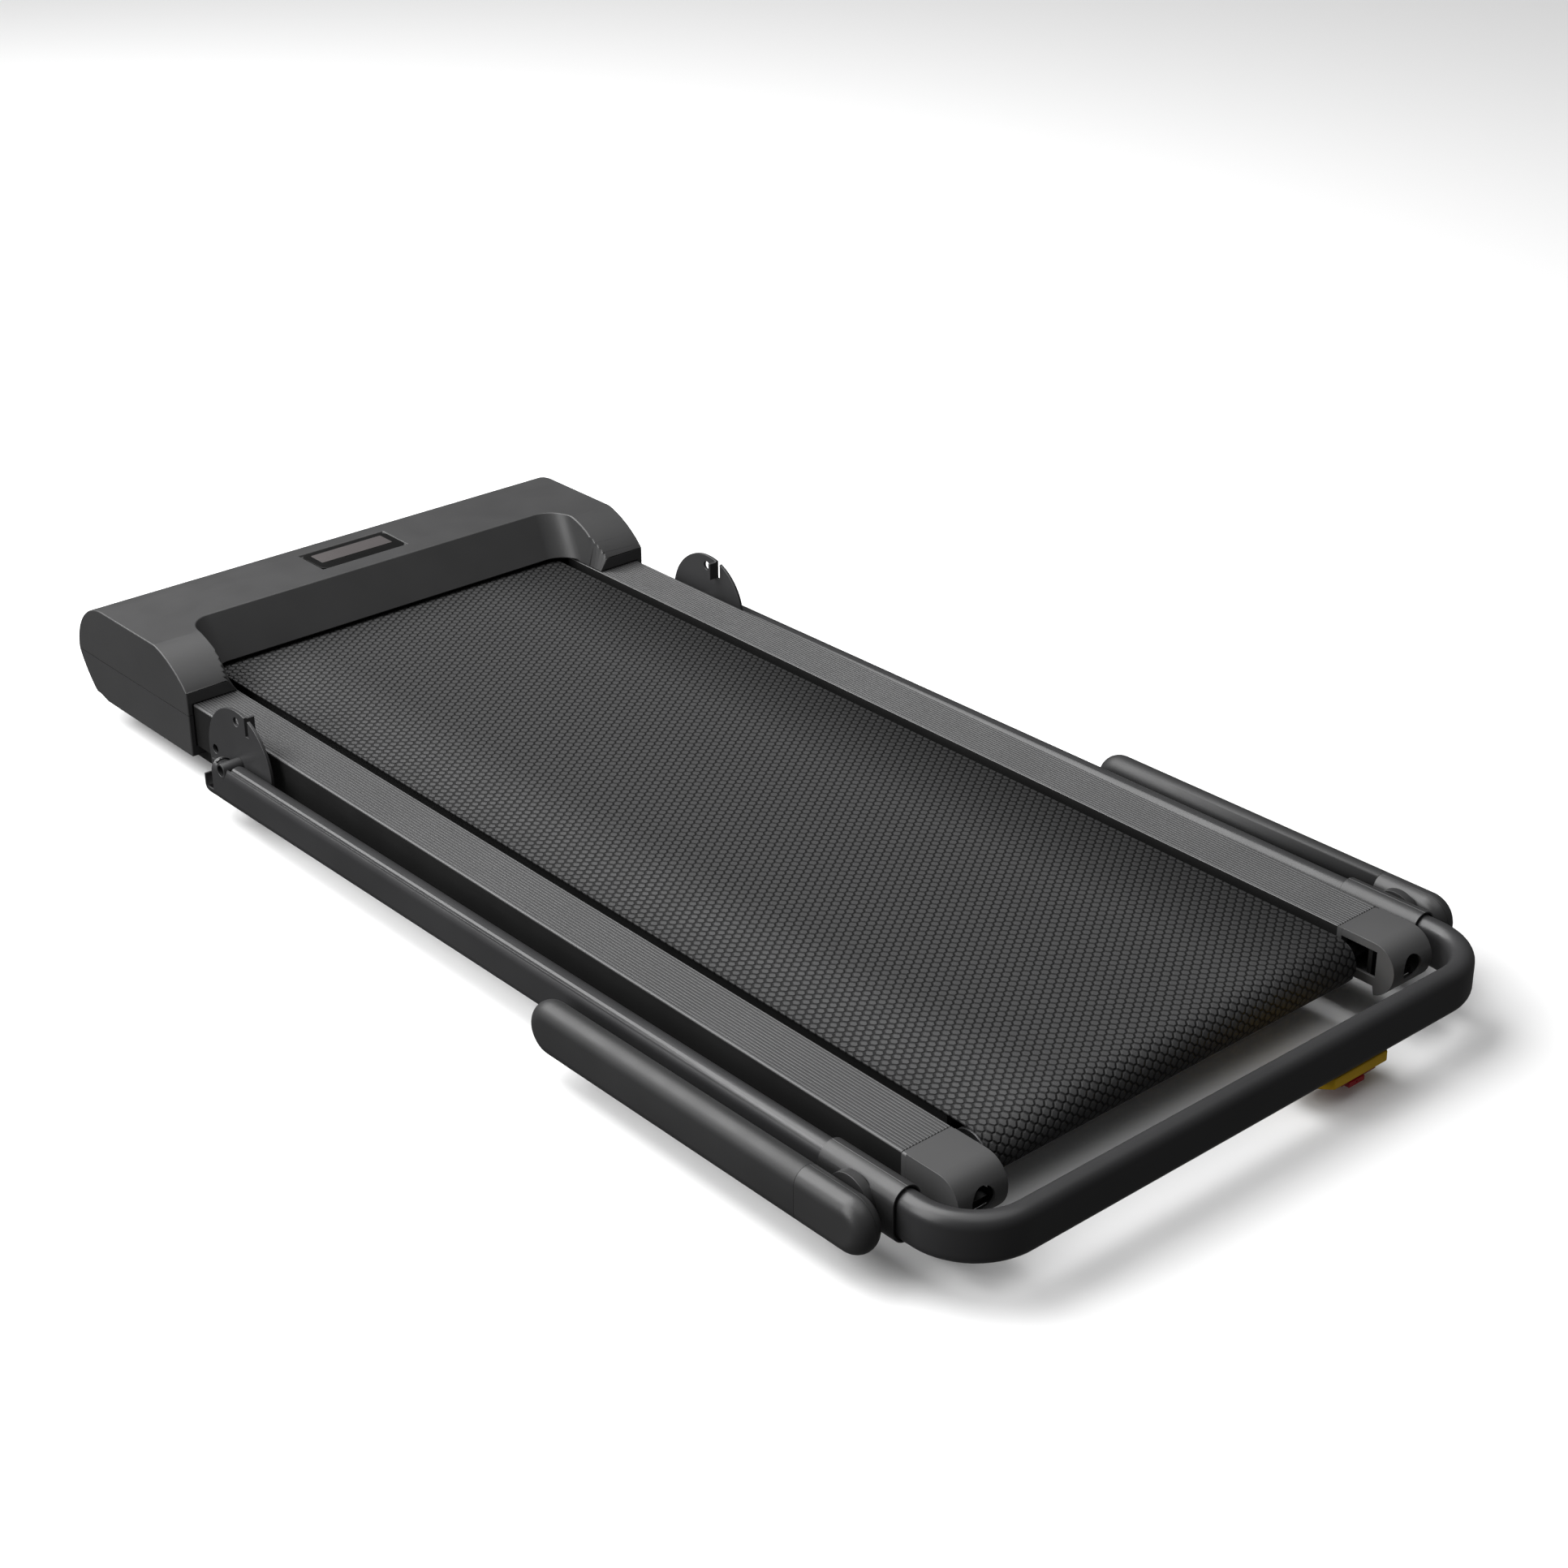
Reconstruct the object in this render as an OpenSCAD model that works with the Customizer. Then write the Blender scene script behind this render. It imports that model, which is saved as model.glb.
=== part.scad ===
// Flat walking treadmill with a fold-flat U handrail and two fold-out arm rests.
// X runs across the belt, +Y points to the motor hood, +Z up. The origin is on the floor,
// at the middle of the overall length and width. Millimetres.

/* [Overall] */
// Length from the back of the handrail bar to the nose of the hood
overall_l = 1258; // [1100:1:1520]
// Width of the walking belt
belt_w = 402; // [350:1:520]
// Height of the rail tops above the floor
rail_top = 75; // [74:1:100]

/* [Side rails and frame] */
// Width of one side rail
rail_w = 47.5; // [42:0.5:70]
// Depth of the rail extrusion
rail_h = 41.5; // [38:0.5:46]
// Wall of the rail extrusion
rail_wall = 2.5; // [1.6:0.1:4]
// Distance between two ribs on the rail top
rib_pitch = 3; // [2:0.1:4]
// Gap between the belt's edge and the rail
belt_gap = 11; // [6:0.5:20]
// Width of the steel frame tubes under the rails
frame_w = 20; // [14:0.5:24]
// Height of the steel frame tubes
frame_h = 20; // [14:0.5:24]
// Wall of the steel frame tubes
frame_wall = 1.5; // [1:0.1:3]
// Number of cross bars in the frame
cross_bars = 4; // [2:1:6]
// Diameter of a rubber foot
foot_d = 30; // [18:1:36]

/* [Deck, belt and rollers] */
// Thickness of the walking belt
belt_t = 1.8; // [1.2:0.1:3]
// How far the belt lies below the rail tops
belt_drop = 1.7; // [0.5:0.1:4]
// Thickness of the deck board
deck_t = 15; // [12:0.5:16]
// Radius of both rollers
roller_r = 18.4; // [17:0.1:19]
// Radius of the roller axles
axle_r = 6; // [4:0.1:7]
// Outer radius of the roller bearings
bearing_r = 13; // [11:0.1:14]
// Radius of the pulley on the front roller
pulley_big_r = 24; // [20:0.5:25]
// Radius of the motor pulley
pulley_small_r = 9; // [8:0.5:12]

/* [Hood] */
// Length of the motor hood
hood_l = 205; // [190:1:260]
// Height of the hood above the rail tops
hood_rise = 44; // [40:1:60]
// Depth of the hood below the rail tops
hood_drop = 51.5; // [49:0.5:53]
// How far the hood stands out beside the rails
hood_side = 6.2; // [4:0.1:12]
// Wall of the hood shells
hood_wall = 3; // [2:0.1:4]
// Radius of the hood's nose
nose_r = 54; // [48:1:60]
// Depth of the recess between the hood's arms, at its foot
recess_depth = 55; // [44:1:60]
// Radius of the recess's corners
recess_r = 25; // [5:1:40]
// Length of the display window across the hood
display_w = 98; // [60:1:140]
// Width of the display window along the hood
display_d = 44; // [30:1:50]

/* [Handrail] */
// Width of the flat oval tube
tube_w = 20; // [18:0.5:24]
// Height of the flat oval tube
tube_h = 40; // [34:0.5:44]
// Wall of the flat oval tube
tube_wall = 1.8; // [1.2:0.1:3]
// Radius of the bends, at the middle of the tube
bend_r = 51; // [40:1:70]
// Gap between a rail and the handrail tube
tube_gap = 13.5; // [12:0.5:20]
// Gap between the rear caps and the handrail bar
bar_gap = 26; // [22:0.5:60]
// Upward slope of the folded handrail, in degrees
fold_slope = 0.57; // [0:0.01:1]
// Radius of the half round hinge plates
plate_r = 53; // [46:1:54]
// Thickness of the hinge plates
plate_t = 3; // [2:0.5:4]
// Radius of the ring of lock holes
lock_ring_r = 42; // [36:0.5:43]

/* [Arm rests] */
// Length of one arm rest
arm_l = 382; // [240:1:420]
// Thickness of one arm rest
arm_w = 25; // [20:0.5:30]
// Height of one arm rest
arm_h = 46; // [40:0.5:48]
// Gap between the clamp and the arm rest
arm_gap = 6.5; // [4:0.5:12]
// Length of the clamp shells on the tubes
clamp_l = 77; // [60:1:110]
// Wall of the clamp shells
clamp_t = 3; // [2:0.1:4]
// Length of the hub cover at the arm's pivot end
hub_l = 70; // [60:1:110]

/* [Hidden] */

$fn = 48;
slack = 0.3;            // gap between curved faces of pieces that move past each other
fit = 0.05;             // radial clearance of a shaft in its hole
seat = 0.2;             // gap around a piece seated in another
cut = 1;                // how far a cutting shape runs past a face

// Lines along the length
y_back = -overall_l / 2;
y_nose = overall_l / 2;
bar_y = y_back + tube_w / 2;
cap_l = 58;
rib_count = floor((rail_w - 2.5) / rib_pitch);
cap_back = y_back + tube_w + bar_gap;
rail_back = cap_back + cap_l;
hood_back = y_nose - hood_l;
rail_front = hood_back + recess_depth - cut;

// Lines across the width, measured from the middle
x_in = belt_w / 2 + belt_gap;
x_out = x_in + rail_w;
tube_x = x_out + tube_gap + tube_w / 2;
clamp_w = tube_w + 2 * clamp_t;
clamp_h = tube_h + 2 * clamp_t;
arm_x = tube_x + clamp_w / 2 + arm_gap + arm_w / 2;
hood_x = x_out + hood_side;
rail_mid = (x_in + x_out) / 2;

// Heights
rail_bottom = rail_top - rail_h;
frame_bottom = rail_bottom - frame_h;
belt_top = rail_top - belt_drop;
roller_z = belt_top - belt_t - slack - roller_r;
belt_r = roller_r + slack + belt_t;
return_z = roller_z - belt_r;
deck_top = belt_top - belt_t - slack;
deck_z = deck_top - deck_t;
cushion_t = 5;
beam_h = 10;
split_z = rail_top - 9.5;
pan_z = rail_top - hood_drop + hood_wall;

// Rollers, deck and drive
rear_roller_y = rail_back - 9.5;
front_roller_y = hood_back + recess_depth + 35;
roller_half = belt_w / 2 + 2;
deck_half = belt_w / 2 - 6;
deck_back = rear_roller_y + belt_r + 10;
deck_front = front_roller_y - belt_r - 10;
pulley_w = 16;
chassis_t = 4;
motor_r = 34;
motor_l = 150;
motor_y = y_nose - nose_r + 1;
motor_z = rail_top - 8;
bearing_w = 10;
frame_x = x_out - 9.5 - frame_w / 2;

// Tension bolts in the rear caps
bolt_r = 4;
bolt_head_r = 6.5;
bolt_hole_r = 11;
bolt_bracket_y = cap_back + 24;
cap_wall = 2.5;

// Wheels under the hood
wheel_r = 15;
wheel_w = 18;
wheel_x = x_in - 55;
wheel_y = y_nose - 65;
wheel_axle_r = 3;

// Handrail, drawn about its pivot
pivot_y = hood_back - 100;
pivot_z = rail_top - 19;
tube_drop = 14.5;
bar_back = (pivot_y - bar_y) / cos(fold_slope);
tube_nose = 48;
tube_end = 30;
tube_nose_r = 12;
sleeve_r = 7;
pivot_r = 5;
ear_r = 16;
plate_in = tube_x - tube_w / 2 - seat - plate_t;
boss_end = plate_in - slack;
lock_hole_r = 4.1;
lock_boss_r = 8;
tab_w = 8;
tab_depth = 17;
tab_in = 8;

// Arm rests, along the tube from the pivot
arm_pivot = bar_back - bend_r - clamp_l / 2 - 12;
arm_drop = tube_drop + 2.5;
arm_back = arm_pivot + 41.5;
arm_front = arm_back - arm_l;
boss_r = 21;
pin_r = 5;

// Safety key under the bar
key_x = 123;
key_w = 90;
key_d = 43;
key_t = 9;

sides = [-1, 1];

// Points of an arc about a centre
function arc(cx, cy, r, a0, a1, n) = [for (i = [0 : n]) let (a = a0 + (a1 - a0) * i / n) [cx + r * cos(a), cy + r * sin(a)]];

// Points of an arc of radius r from p to q that bulges to the left of the way from p to q
function bow(p, q, r, n) = let (
    m = (p + q) / 2,
    d = q - p,
    half = norm(d) / 2,
    c = m + [d[1], -d[0]] / norm(d) * sqrt(r * r - half * half),
    a0 = atan2(p[1] - c[1], p[0] - c[0]),
    sweep = 2 * asin(half / r))
    [for (i = [0 : n]) c + r * [cos(a0 - sweep * i / n), sin(a0 - sweep * i / n)]];

// Flat oval with its long side upright
function oval(w, h) = concat(
    arc(0, (h - w) / 2, w / 2, 0, 180, 16),
    arc(0, -(h - w) / 2, w / 2, 180, 360, 16));

// Right half of a flat oval, for turning about its short axis
function half_oval(w, h) = concat([[0, -w / 2]], arc((h - w) / 2, 0, w / 2, -90, 90, 16), [[0, w / 2]]);

// Extrudes an outline drawn in Y and Z from x0 to x1
module across(x0, x1) translate([x0, 0, 0]) rotate([90, 0, 90]) linear_extrude(height = x1 - x0) children();

// Extrudes an outline drawn in X and Z from y0 to y1
module along(y0, y1) translate([0, y1, 0]) rotate([90, 0, 0]) linear_extrude(height = y1 - y0) children();

// Round bar along X, along Y
module rod_x(x0, x1, r) translate([x0, 0, 0]) rotate([0, 90, 0]) cylinder(r = r, h = x1 - x0);
module rod_y(y0, y1, r) translate([0, y0, 0]) rotate([-90, 0, 0]) cylinder(r = r, h = y1 - y0);

// Block from one corner to the other
module block(a, b) translate(a) cube(b - a);

// Copy on the left for s = -1 and on the right for s = 1, from a shape drawn on the right
module on_side(s) mirror([s < 0 ? 1 : 0, 0, 0]) children();
module both_sides() for (s = sides) on_side(s) children();

// ---------- side rails and frame ----------

// Rail outline in X and Z: ribbed top, grooved and rounded outer edge, square foot
function rib_points() = [for (i = [0 : rib_count - 1])
    let (x = x_in + 1.8 + i * rib_pitch)
    for (p = [[-0.8, 0], [-0.3, -0.5], [0.3, -0.5], [0.8, 0]]) [x + p[0], rail_top + p[1]]];
function rail_outline() = concat(
    [[x_in, rail_bottom], [x_in, rail_top - 0.6], [x_in + 0.6, rail_top]],
    rib_points(),
    arc(x_out - 1.8, rail_top - 1.8, 1.8, 90, 0, 6),
    [[x_out, rail_bottom]]);

module side_rail() difference() {
    along(rail_back, rail_front) polygon(rail_outline());
    block([x_in + rail_wall, rail_back - cut, rail_bottom + rail_wall],
          [x_out - rail_wall, rail_front + cut, rail_top - rail_wall - 0.6]);
}
module side_rail_left() color([0.20, 0.20, 0.21]) on_side(-1) side_rail();
module side_rail_right() color([0.20, 0.20, 0.21]) on_side(1) side_rail();

module frame_tube() difference() {
    block([frame_x - frame_w / 2, rail_back + 12, frame_bottom],
          [frame_x + frame_w / 2, rail_front, rail_bottom]);
    block([frame_x - frame_w / 2 + frame_wall, rail_back, frame_bottom + frame_wall],
          [frame_x + frame_w / 2 - frame_wall, rail_front + cut, rail_bottom - frame_wall]);
}
module frame_tube_left() color([0.08, 0.08, 0.08]) on_side(-1) frame_tube();
module frame_tube_right() color([0.08, 0.08, 0.08]) on_side(1) frame_tube();

// Cross bars under the returning belt
module frame_cross_bars() color([0.08, 0.08, 0.08]) {
    half = frame_x - frame_w / 2;
    first = rail_back + 60;
    step = (hood_back - 60 - first) / (cross_bars - 1);
    top = min(rail_bottom, return_z - 1.2);
    for (i = [0 : cross_bars - 1]) translate([0, first + i * step, 0])
        difference() {
            block([-half, -15, frame_bottom], [half, 15, top]);
            block([-half - cut, -15 + frame_wall, frame_bottom + frame_wall],
                  [half + cut, 15 - frame_wall, top - frame_wall]);
        }
}

// Upright plates that carry the front roller and the motor, with a tongue beside the frame tubes
module chassis_plates() color([0.12, 0.12, 0.12]) both_sides() {
    inner = frame_x - frame_w / 2 - chassis_t;
    difference() {
        across(inner, inner + chassis_t) polygon([
            [hood_back - 20, frame_bottom + 1], [rail_front, frame_bottom + 1], [rail_front, pan_z + 1],
            [motor_y + 6, pan_z + 1], [motor_y + 6, rail_top - 20], [front_roller_y + 20, rail_top],
            [rail_front + 2, rail_top], [rail_front + 2, rail_bottom - 1], [hood_back - 20, rail_bottom - 1]]);
        translate([0, front_roller_y, roller_z]) rod_x(inner - cut, inner + chassis_t + cut, axle_r + fit);
    }
}

// Rubber feet at the four corners of the frame
module rubber_feet() color([0.04, 0.04, 0.04]) both_sides()
    for (y = [rail_back + 45, hood_back - 30]) translate([frame_x, y, 0]) {
        cylinder(r1 = foot_d / 2 - 2, r2 = foot_d / 2, h = 4);
        translate([0, 0, 4]) cylinder(r = foot_d / 2, h = frame_bottom - 4);
    }

// ---------- deck, belt and rollers ----------

function beam_y(i) = deck_back + 50 + i * (deck_front - deck_back - 100) / 3;

module deck_beams() color([0.08, 0.08, 0.08]) for (i = [0 : 3])
    block([-x_in, beam_y(i) - 12, deck_z - cushion_t - beam_h], [x_in, beam_y(i) + 12, deck_z - cushion_t]);

module deck_cushions() color([0.05, 0.05, 0.05]) both_sides() for (i = [0 : 3])
    translate([deck_half - 40, beam_y(i), deck_z - cushion_t]) cylinder(r = 11, h = cushion_t);

module running_deck() color([0.45, 0.36, 0.25])
    block([-deck_half, deck_back, deck_z], [deck_half, deck_front, deck_top]);

// Closed loop of belt round both rollers
module belt_loop(r) polygon(concat(
    arc(front_roller_y, roller_z, r, 90, -90, 24),
    arc(rear_roller_y, roller_z, r, -90, -270, 24)));
module running_belt() color([0.13, 0.13, 0.13]) across(-belt_w / 2, belt_w / 2) difference() {
    belt_loop(belt_r);
    belt_loop(belt_r - belt_t);
}

// Roller tube with a bearing pocket at each end
module roller() difference() {
    rod_x(-roller_half, roller_half, roller_r);
    rod_x(-roller_half + 30, roller_half - 30, roller_r - 2.5);
    rod_x(-roller_half - cut, roller_half + cut, axle_r + 2);
    both_sides() rod_x(roller_half - bearing_w, roller_half + cut, bearing_r + seat / 4);
}
module bearings() both_sides() difference() {
    rod_x(roller_half - bearing_w + seat, roller_half - seat, bearing_r);
    rod_x(roller_half - bearing_w, roller_half + cut, axle_r + fit);
}
module at_front_roller() translate([0, front_roller_y, roller_z]) children();
module at_rear_roller() translate([0, rear_roller_y, roller_z]) children();
module front_roller() color([0.6, 0.6, 0.62]) at_front_roller() roller();
module rear_roller() color([0.6, 0.6, 0.62]) at_rear_roller() roller();
module roller_bearings() color([0.7, 0.7, 0.72]) {
    at_front_roller() bearings();
    at_rear_roller() bearings();
}

module front_axle() color([0.5, 0.5, 0.52]) at_front_roller() {
    reach = frame_x - frame_w / 2 + 3;
    rod_x(-reach, reach, axle_r);
}

// Rear axle, with a cross hole near each end for the tension bolt
module rear_axle() color([0.5, 0.5, 0.52]) at_rear_roller() difference() {
    reach = rail_mid + 8;
    rod_x(-reach, reach, axle_r);
    both_sides() translate([rail_mid, 0, 0]) rod_y(-axle_r - cut, axle_r + cut, bolt_r + fit);
}

// ---------- rear end ----------

module rail_end_plates() color([0.16, 0.16, 0.17]) both_sides() difference() {
    along(rail_back - 4.5, rail_back) polygon(concat(
        [[x_in, rail_bottom], [x_in, rail_top - 0.6]],
        arc(x_out - 1.8, rail_top - 2.4, 1.8, 90, 0, 6),
        [[x_out, rail_bottom]]));
    block([x_in - cut, rail_back - 5, roller_z - axle_r - 1], [rail_mid + 10, rail_back + cut, roller_z + axle_r + 1]);
}

// Cap outline in Y and Z: flat top, big rounded back, hook at the bottom
function cap_outline(inset) = let (r = 22 - inset, y = cap_back + 22) concat(
    [[rail_back - 4.5, rail_top - inset]],
    arc(y, rail_top - 22, r, 90, 180, 10),
    arc(y + 3, rail_top - 22, r + 3, 180, 253, 8),
    [[y - 2.5 - inset, rail_top - 38 + inset], [rail_back - 4.5, rail_top - 38 + inset]]);
module rear_cap() difference() {
    across(x_in, x_out) polygon(cap_outline(0));
    across(x_in + cap_wall, x_out - cap_wall) polygon(cap_outline(cap_wall));
    // axle window in the inner side
    block([x_in - cut, cap_back + 18, rail_top - 30], [x_in + cap_wall + cut, rail_back, rail_top - 7]);
    // open front, closed by the rail's end plate
    block([x_in + cap_wall, rail_back - 10, rail_top - 38 + cap_wall], [x_out - cap_wall, rail_back, rail_top - cap_wall]);
    // way in to the tension bolt
    translate([rail_mid, 0, roller_z]) rod_y(cap_back - cut, cap_back + 12, bolt_hole_r);
}
module rear_cap_left() color([0.24, 0.24, 0.25]) on_side(-1) rear_cap();
module rear_cap_right() color([0.24, 0.24, 0.25]) on_side(1) rear_cap();

// Steel wall inside each cap that the tension bolt pulls against
module tension_brackets() color([0.3, 0.3, 0.3]) both_sides() difference() {
    block([x_in + cap_wall + seat, bolt_bracket_y, rail_top - 38 + cap_wall + seat],
          [x_out - cap_wall - seat, bolt_bracket_y + 4, rail_top - cap_wall - seat]);
    translate([rail_mid, 0, roller_z]) rod_y(bolt_bracket_y - cut, bolt_bracket_y + 5, bolt_r + fit);
}

// Hexagon socket bolt that pulls the rear axle back
module tension_bolt() translate([rail_mid, 0, roller_z]) difference() {
    union() {
        rod_y(bolt_bracket_y - 8, bolt_bracket_y - slack, bolt_head_r);
        rod_y(bolt_bracket_y - slack, rear_roller_y + axle_r + 8, bolt_r);
    }
    translate([0, bolt_bracket_y - 8 - cut, 0]) rotate([-90, 0, 0]) cylinder(r = 3.4, h = 5, $fn = 6);
}
module tension_bolt_left() color([0.55, 0.55, 0.57]) on_side(-1) tension_bolt();
module tension_bolt_right() color([0.55, 0.55, 0.57]) on_side(1) tension_bolt();

// ---------- motor hood ----------

shoulder_rise = 12.6;
shoulder_l = 53.5;
shoulder_r = 88;
nose_z = rail_top + hood_rise - nose_r;
panel_top = recess_depth + 26;

// Hood outline in Y and Z
function hood_outline() = concat(
    [[hood_back, rail_top - hood_drop]],
    bow([hood_back, rail_top + shoulder_rise], [hood_back + shoulder_l, rail_top + hood_rise], shoulder_r, 8),
    arc(y_nose - nose_r, nose_z, nose_r, 90, 0, 14),
    bow([y_nose, nose_z], [y_nose - 26, rail_top - hood_drop + 4], 90, 6),
    [[y_nose - 33, rail_top - hood_drop + 3.5], [y_nose - 47, rail_top - hood_drop]]);

// Plan of the space between the arms at height h over the rails, grown by g on the hood's side
function recess_plan(h, g) = let (
    w = x_in + 0.1 * h + g,
    y = hood_back + recess_depth + (panel_top - recess_depth) * h / hood_rise + g,
    r = recess_r + g)
    concat([[-w, hood_back - cut], [w, hood_back - cut]], arc(w - r, y - r, r, 0, 90, 8), arc(r - w, y - r, r, 90, 180, 8));
module recess_cut(g) {
    translate([0, 0, rail_top - 80]) linear_extrude(height = 80.01) polygon(recess_plan(0, g));
    hull() for (h = [0, 80]) translate([0, 0, rail_top + h]) linear_extrude(height = 0.01) polygon(recess_plan(h, g));
}
module hood_shell(z0, z1) difference() {
    intersection() {
        across(-hood_x, hood_x) polygon(hood_outline());
        block([-hood_x, hood_back, z0], [hood_x, y_nose, z1]);
    }
    difference() {
        across(-hood_x + hood_wall, hood_x - hood_wall) offset(delta = -hood_wall) polygon(hood_outline());
        recess_cut(hood_wall);
    }
    recess_cut(0);
    // belt slot at the foot of the recess
    block([-belt_w / 2 - 4, hood_back + recess_depth - 12, pan_z + 1],
          [belt_w / 2 + 4, hood_back + recess_depth + hood_wall + cut, rail_top + 3]);
    // rail and frame tube openings in the arms
    both_sides() {
        block([x_in - cut, hood_back - cut, rail_bottom - 0.5], [x_out + 0.5, rail_front + cut, rail_top + 0.5]);
        block([frame_x - frame_w / 2 - chassis_t - 1, hood_back - cut, frame_bottom - cut],
              [frame_x + frame_w / 2 + 1, rail_front + cut, rail_bottom]);
    }
}

display_y = hood_back + 124;
lens_t = 1.6;

module hood_upper() color([0.25, 0.25, 0.26]) difference() {
    hood_shell(split_z, rail_top + hood_rise + cut);
    // pocket for the display window
    block([-display_w / 2 - seat, display_y - display_d / 2 - seat, rail_top + hood_rise - lens_t],
          [display_w / 2 + seat, display_y + display_d / 2 + seat, rail_top + hood_rise + cut]);
    // light opening under the window
    block([-display_w / 2 + 6, display_y - display_d / 2 + 8, rail_top + hood_rise - hood_wall - cut],
          [display_w / 2 - 6, display_y + display_d / 2 - 6, rail_top + hood_rise]);
}

// Inlet and switch openings in the nose of the lower shell
inlet_x = 150;
inlet_w = 28;
inlet_h = 20;
switch_w = 26;
switch_h = 18;
rocker_pin_r = 1.5;
port_z = split_z - 16;
port_y = y_nose - 14;
module hood_lower() color([0.23, 0.23, 0.24]) difference() {
    hood_shell(rail_top - hood_drop - cut, split_z - seat);
    // wheel wells
    for (s = sides) block([s * wheel_x - wheel_w / 2 - 2, wheel_y - wheel_r - 2, rail_top - hood_drop - cut],
                          [s * wheel_x + wheel_w / 2 + 2, wheel_y + wheel_r + 2, pan_z + cut]);
    block([inlet_x - inlet_w / 2, port_y - 12, port_z - inlet_h / 2], [inlet_x + inlet_w / 2, y_nose + cut, port_z + inlet_h / 2]);
    block([inlet_x + 24, port_y - 12, port_z - switch_h / 2], [inlet_x + 24 + switch_w, y_nose + cut, port_z + switch_h / 2]);
}

module display_lens() color([0.03, 0.03, 0.03])
    block([-display_w / 2, display_y - display_d / 2, rail_top + hood_rise - lens_t + 0.05],
          [display_w / 2, display_y + display_d / 2, rail_top + hood_rise - 0.2]);
module display_board() color([0.05, 0.25, 0.12])
    block([-display_w / 2, display_y - display_d / 2, rail_top + hood_rise - hood_wall - 2],
          [display_w / 2, display_y + display_d / 2, rail_top + hood_rise - hood_wall]);

// Mains inlet: a block with three pins in a socket
module power_inlet() color([0.02, 0.02, 0.02]) translate([inlet_x, 0, port_z]) {
    difference() {
        block([-inlet_w / 2 + seat, port_y - 24, -inlet_h / 2 + seat], [inlet_w / 2 - seat, port_y, inlet_h / 2 - seat]);
        block([-inlet_w / 2 + 2.5, port_y - 16, -inlet_h / 2 + 2.5], [inlet_w / 2 - 2.5, port_y + cut, inlet_h / 2 - 2.5]);
    }
    for (p = [[-7, -2], [7, -2], [0, 3]])
        block([p[0] - 1, port_y - 16, p[1] - 2], [p[0] + 1, port_y - 4, p[1] + 2]);
}

// Switch frame and rocker
rocker_x = inlet_x + 24 + switch_w / 2;
module switch_frame() color([0.03, 0.03, 0.03]) translate([rocker_x, 0, port_z]) difference() {
    block([-switch_w / 2 + seat, port_y - 22, -switch_h / 2 + seat], [switch_w / 2 - seat, port_y, switch_h / 2 - seat]);
    block([-switch_w / 2 + 2.5, port_y - 18, -switch_h / 2 + 2.5], [switch_w / 2 - 2.5, port_y + cut, switch_h / 2 - 2.5]);
    translate([0, port_y - 9, -switch_h / 2]) cylinder(r = rocker_pin_r + fit, h = switch_h);
}
// Rocker on two short pins
module power_rocker() color([0.65, 0.06, 0.05]) translate([rocker_x, port_y - 9, port_z]) {
    intersection() {
        block([-switch_w / 2 + 3, -8, -switch_h / 2 + 3], [switch_w / 2 - 3, 9, switch_h / 2 - 3]);
        rotate([0, 0, 8]) block([-9, -7.5, -9], [9, 7, 9]);
    }
    translate([0, 0, -switch_h / 2 + 1]) cylinder(r = rocker_pin_r, h = switch_h - 2);
}

// ---------- motor and drive ----------

motor_x0 = -roller_half + 14;
module at_motor() translate([0, motor_y, motor_z]) children();
module motor_case() color([0.30, 0.30, 0.32]) at_motor() difference() {
    union() {
        rod_x(motor_x0 + 8, motor_x0 + motor_l - 8, motor_r);
        rod_x(motor_x0, motor_x0 + 8, motor_r - 6);
        rod_x(motor_x0 + motor_l - 8, motor_x0 + motor_l, motor_r - 6);
    }
    rod_x(motor_x0 - cut, motor_x0 + motor_l + cut, axle_r + fit);
}
module motor_bracket() color([0.12, 0.12, 0.12]) difference() {
    x0 = max(motor_x0 + 30, -wheel_x + wheel_w / 2 + 4);
    block([x0, motor_y - motor_r - 1, pan_z + seat], [motor_x0 + motor_l - 30, motor_y + 5, motor_z - 14]);
    at_motor() rod_x(motor_x0, motor_x0 + motor_l, motor_r + seat);
    block([motor_x0, motor_y - motor_r + 6, pan_z + 3], [motor_x0 + motor_l, motor_y - 2, motor_z]);
}
module motor_shaft() color([0.6, 0.6, 0.6]) at_motor()
    rod_x(-roller_half - pulley_w + 1, motor_x0 + motor_l + 6, axle_r);

// Pulleys with a ribbed rim, in line with each other
module pulley(r, bore) difference() {
    rod_x(-roller_half - pulley_w, -roller_half, r);
    rod_x(-roller_half - pulley_w - cut, -roller_half + cut, bore);
    for (i = [0 : 4]) translate([-roller_half - 2.5 - 2.4 * i, 0, 0]) difference() {
        rod_x(-1.6, 0, r + cut);
        rod_x(-2, 1, r - 0.9);
    }
}
module roller_pulley() color([0.25, 0.25, 0.27]) at_front_roller() pulley(pulley_big_r, axle_r + 2);
module motor_pulley() color([0.6, 0.6, 0.6]) at_motor() pulley(pulley_small_r, axle_r + 0.02);

// Ribbed belt from the motor pulley to the roller pulley
module drive_belt() color([0.03, 0.03, 0.03]) across(-roller_half - pulley_w + 1.5, -roller_half - 1.5) difference() {
    hull() {
        translate([front_roller_y, roller_z]) circle(r = pulley_big_r + slack + 2, $fn = 64);
        translate([motor_y, motor_z]) circle(r = pulley_small_r + slack + 2, $fn = 48);
    }
    hull() {
        translate([front_roller_y, roller_z]) circle(r = pulley_big_r + slack, $fn = 64);
        translate([motor_y, motor_z]) circle(r = pulley_small_r + slack, $fn = 48);
    }
}

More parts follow.
